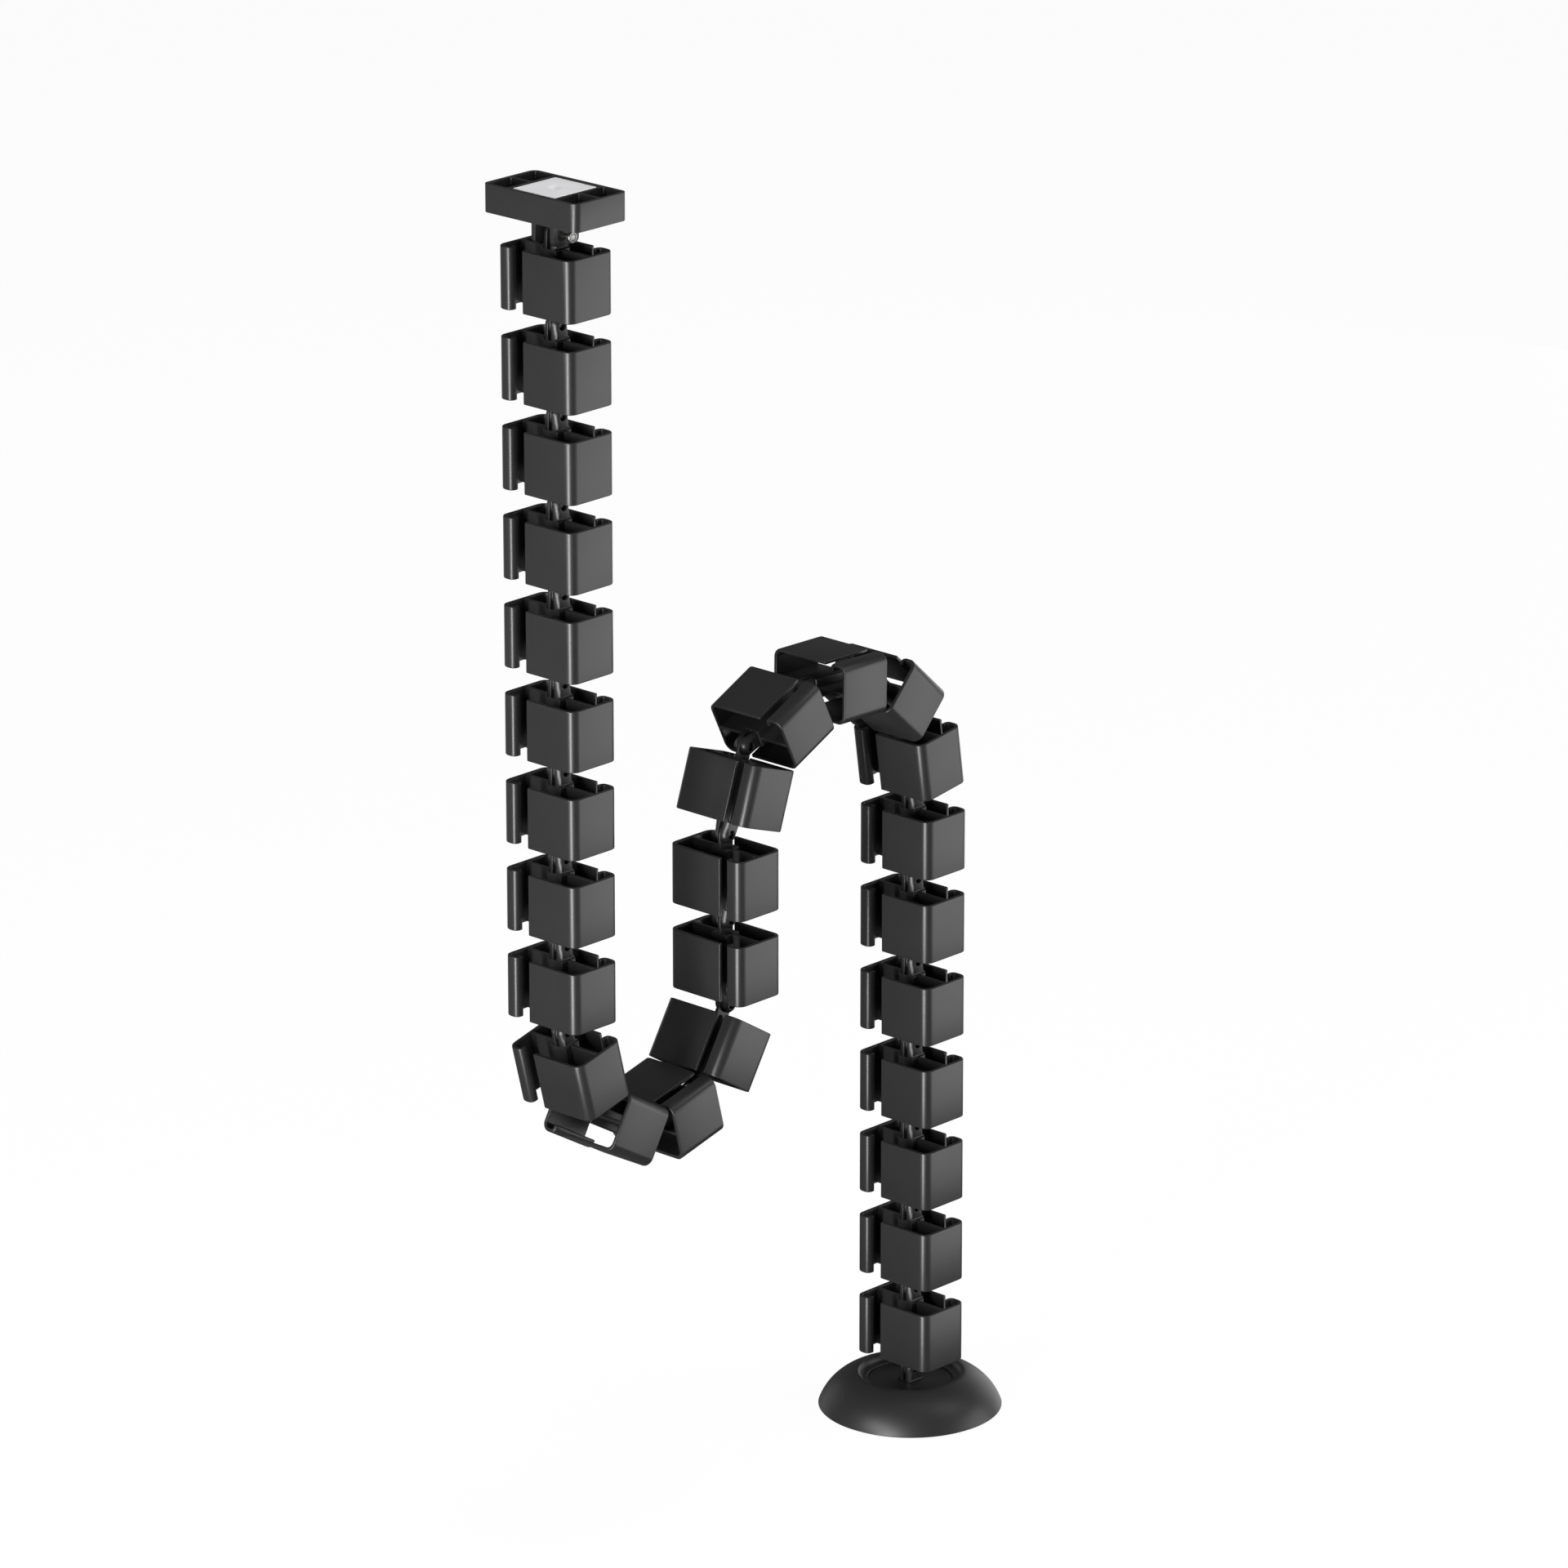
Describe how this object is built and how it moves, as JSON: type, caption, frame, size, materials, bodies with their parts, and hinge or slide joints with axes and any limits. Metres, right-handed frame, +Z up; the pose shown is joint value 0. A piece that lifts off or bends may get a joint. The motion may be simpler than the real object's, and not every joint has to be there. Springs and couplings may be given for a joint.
{
  "type": "cable spine",
  "caption": "Hanging cable spine: a chain of hinged moulded links with two cable channels, between a magnetic desk mount and a weighted round floor base.",
  "frame": {"origin": "centre of the desk mount's upper face, which lies against the underside of a desk", "axes": "+Z up out of the desk face, X along every hinge axis, +Y toward the floor base"},
  "size_m": [0.098, 0.3301, 0.7196],
  "materials": {
    "black_plastic": "satin",
    "base_plastic": "satin",
    "magnet_plate": "satin",
    "pin_steel": "bright",
    "weight_steel": "raw",
    "pad_rubber": "matt"
  },
  "bodies": {
    "mount": {"mount_block": "black_plastic", "mount_magnet": "magnet_plate", "mount_pin": "pin_steel", "pin_clip": "pin_steel", "pin_bush": "black_plastic"},
    "link_01": {"link_01": "black_plastic"},
    "link_02": {"link_02": "black_plastic"},
    "link_03": {"link_03": "black_plastic"},
    "link_04": {"link_04": "black_plastic"},
    "link_05": {"link_05": "black_plastic"},
    "link_06": {"link_06": "black_plastic"},
    "link_07": {"link_07": "black_plastic"},
    "link_08": {"link_08": "black_plastic"},
    "link_09": {"link_09": "black_plastic"},
    "link_10": {"link_10": "black_plastic"},
    "link_11": {"link_11": "black_plastic"},
    "link_12": {"link_12": "black_plastic"},
    "link_13": {"link_13": "black_plastic"},
    "link_14": {"link_14": "black_plastic"},
    "link_15": {"link_15": "black_plastic"},
    "link_16": {"link_16": "black_plastic"},
    "link_17": {"link_17": "black_plastic"},
    "link_18": {"link_18": "black_plastic"},
    "link_19": {"link_19": "black_plastic"},
    "link_20": {"link_20": "black_plastic"},
    "link_21": {"link_21": "black_plastic"},
    "link_22": {"link_22": "black_plastic"},
    "link_23": {"link_23": "black_plastic"},
    "link_24": {"link_24": "black_plastic"},
    "link_25": {"link_25": "black_plastic"},
    "link_26": {"link_26": "black_plastic"},
    "link_27": {"link_27": "black_plastic"},
    "base": {"base_shell": "base_plastic", "base_hinge": "black_plastic", "base_weight": "weight_steel", "base_screws": "pin_steel", "base_pad": "pad_rubber"}
  },
  "joints": [
    {"name": "mount_hinge", "type": "hinge", "parent": "mount", "child": "link_01", "pos_m": [0, 0, -0.0232], "axis": [1, 0, 0], "range_deg": [-19, 19]},
    {"name": "hinge_01", "type": "hinge", "parent": "link_01", "child": "link_02", "pos_m": [0, 0, -0.0692], "axis": [-1, 0, 0], "range_deg": [-46, 46]},
    {"name": "hinge_02", "type": "hinge", "parent": "link_02", "child": "link_03", "pos_m": [0, 0, -0.1152], "axis": [1, 0, 0], "range_deg": [-46, 46]},
    {"name": "hinge_03", "type": "hinge", "parent": "link_03", "child": "link_04", "pos_m": [0, 0, -0.1612], "axis": [-1, 0, 0], "range_deg": [-46, 46]},
    {"name": "hinge_04", "type": "hinge", "parent": "link_04", "child": "link_05", "pos_m": [0, 0, -0.2072], "axis": [1, 0, 0], "range_deg": [-46, 46]},
    {"name": "hinge_05", "type": "hinge", "parent": "link_05", "child": "link_06", "pos_m": [0, 0, -0.2532], "axis": [-1, 0, 0], "range_deg": [-46, 46]},
    {"name": "hinge_06", "type": "hinge", "parent": "link_06", "child": "link_07", "pos_m": [0, 0, -0.2992], "axis": [1, 0, 0], "range_deg": [-46, 46]},
    {"name": "hinge_07", "type": "hinge", "parent": "link_07", "child": "link_08", "pos_m": [0, 0, -0.3452], "axis": [-1, 0, 0], "range_deg": [-46, 46]},
    {"name": "hinge_08", "type": "hinge", "parent": "link_08", "child": "link_09", "pos_m": [0, 0, -0.3912], "axis": [1, 0, 0], "range_deg": [-46, 46]},
    {"name": "hinge_09", "type": "hinge", "parent": "link_09", "child": "link_10", "pos_m": [0, 0, -0.4372], "axis": [-1, 0, 0], "range_deg": [-31.5, 60.5]},
    {"name": "hinge_10", "type": "hinge", "parent": "link_10", "child": "link_11", "pos_m": [0, 0.01152, -0.48174], "axis": [1, 0, 0], "range_deg": [-91.5, 0.5]},
    {"name": "hinge_11", "type": "hinge", "parent": "link_11", "child": "link_12", "pos_m": [0, 0.05135, -0.50474], "axis": [-1, 0, 0], "range_deg": [-1.5, 90.5]},
    {"name": "hinge_12", "type": "hinge", "parent": "link_12", "child": "link_13", "pos_m": [0, 0.09589, -0.49322], "axis": [1, 0, 0], "range_deg": [-90, 2]},
    {"name": "hinge_13", "type": "hinge", "parent": "link_13", "child": "link_14", "pos_m": [0, 0.11992, -0.454], "axis": [-1, 0, 0], "range_deg": [-14.5, 77.5]},
    {"name": "hinge_14", "type": "hinge", "parent": "link_14", "child": "link_15", "pos_m": [0, 0.11992, -0.408], "axis": [1, 0, 0], "range_deg": [-46, 46]},
    {"name": "hinge_15", "type": "hinge", "parent": "link_15", "child": "link_16", "pos_m": [0, 0.11992, -0.362], "axis": [-1, 0, 0], "range_deg": [-64.5, 27.5]},
    {"name": "hinge_16", "type": "hinge", "parent": "link_16", "child": "link_17", "pos_m": [0, 0.13452, -0.31837], "axis": [1, 0, 0], "range_deg": [-0.5, 91.5]},
    {"name": "hinge_17", "type": "hinge", "parent": "link_17", "child": "link_18", "pos_m": [0, 0.17586, -0.29821], "axis": [-1, 0, 0], "range_deg": [-73, 19]},
    {"name": "hinge_18", "type": "hinge", "parent": "link_18", "child": "link_19", "pos_m": [0, 0.22186, -0.29901], "axis": [1, 0, 0], "range_deg": [-4.5, 87.5]},
    {"name": "hinge_19", "type": "hinge", "parent": "link_19", "child": "link_20", "pos_m": [0, 0.25577, -0.33009], "axis": [-1, 0, 0], "range_deg": [-85, 7]},
    {"name": "hinge_20", "type": "hinge", "parent": "link_20", "child": "link_21", "pos_m": [0, 0.26257, -0.37558], "axis": [1, 0, 0], "range_deg": [-37.5, 54.5]},
    {"name": "hinge_21", "type": "hinge", "parent": "link_21", "child": "link_22", "pos_m": [0, 0.26257, -0.42158], "axis": [-1, 0, 0], "range_deg": [-46, 46]},
    {"name": "hinge_22", "type": "hinge", "parent": "link_22", "child": "link_23", "pos_m": [0, 0.26257, -0.46758], "axis": [1, 0, 0], "range_deg": [-46, 46]},
    {"name": "hinge_23", "type": "hinge", "parent": "link_23", "child": "link_24", "pos_m": [0, 0.26257, -0.51358], "axis": [-1, 0, 0], "range_deg": [-46, 46]},
    {"name": "hinge_24", "type": "hinge", "parent": "link_24", "child": "link_25", "pos_m": [0, 0.26257, -0.55958], "axis": [1, 0, 0], "range_deg": [-46, 46]},
    {"name": "hinge_25", "type": "hinge", "parent": "link_25", "child": "link_26", "pos_m": [0, 0.26257, -0.60558], "axis": [-1, 0, 0], "range_deg": [-46, 46]},
    {"name": "hinge_26", "type": "hinge", "parent": "link_26", "child": "link_27", "pos_m": [0, 0.26257, -0.65158], "axis": [1, 0, 0], "range_deg": [-46, 46]},
    {"name": "base_hinge_pivot", "type": "hinge", "parent": "link_27", "child": "base", "pos_m": [0, 0.26257, -0.69758], "axis": [-1, 0, 0], "range_deg": [-28, 28]}
  ]
}
